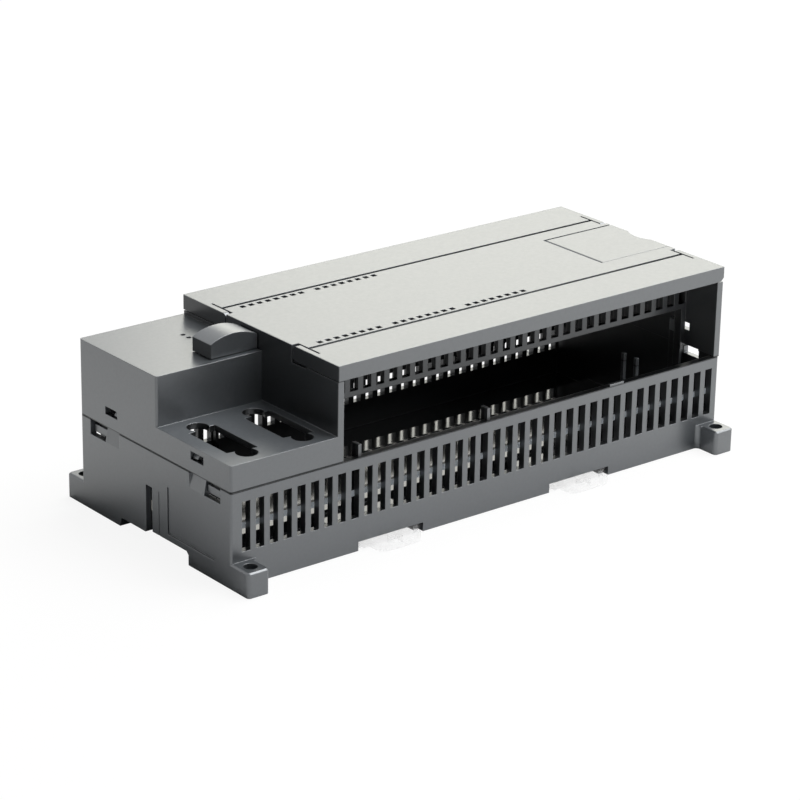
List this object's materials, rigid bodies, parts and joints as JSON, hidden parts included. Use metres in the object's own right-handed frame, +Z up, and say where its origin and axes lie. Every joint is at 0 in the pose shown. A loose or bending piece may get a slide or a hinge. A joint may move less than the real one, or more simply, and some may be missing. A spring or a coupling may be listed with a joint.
{
  "type": "din rail enclosure",
  "caption": "Empty slotted plastic rail enclosure with hinged terminal flaps, access door, stepped connector block, screw lugs and sliding rail clips.",
  "frame": {"origin": "centre of the footprint, lugs included, on the underside", "axes": "+X along the length towards the end with the access door, +Y towards the rear terminal side, +Z up, away from the rail"},
  "size_m": [0.1978, 0.0974, 0.0626],
  "materials": {
    "base_plastic": "satin",
    "cover_plastic": "satin",
    "flap_plastic": "satin",
    "clip_plastic": "satin, slightly translucent"
  },
  "bodies": {
    "housing": {"base_housing": "base_plastic", "cover_housing": "cover_plastic"},
    "front_flap": {"front_terminal_flap": "flap_plastic"},
    "rear_flap": {"rear_terminal_flap": "flap_plastic"},
    "door": {"port_door": "flap_plastic"},
    "slot_lid": {"cartridge_cover": "cover_plastic"},
    "left_clip": {"din_clip_left": "clip_plastic"},
    "right_clip": {"din_clip_right": "clip_plastic"}
  },
  "joints": [
    {"name": "front_flap_hinge", "type": "hinge", "parent": "housing", "child": "front_flap", "pos_m": [0.0196, -0.02, 0.0594], "axis": [-1, 0, 0], "range_deg": [0, 85]},
    {"name": "rear_flap_hinge", "type": "hinge", "parent": "housing", "child": "rear_flap", "pos_m": [0.0196, 0.02, 0.0594], "axis": [1, 0, 0], "range_deg": [0, 85]},
    {"name": "door_hinge", "type": "hinge", "parent": "housing", "child": "door", "pos_m": [0.07, 0.0005, 0.0611], "axis": [0, -1, 0], "range_deg": [0, 90]},
    {"name": "slot_lid_lift", "type": "slide", "parent": "housing", "child": "slot_lid", "axis": [0, 0, 1], "range_m": [0, 0.012]},
    {"name": "left_clip_slide", "type": "slide", "parent": "housing", "child": "left_clip", "axis": [0, -1, 0], "range_m": [0, 0.004]},
    {"name": "right_clip_slide", "type": "slide", "parent": "housing", "child": "right_clip", "axis": [0, -1, 0], "range_m": [0, 0.004]}
  ]
}
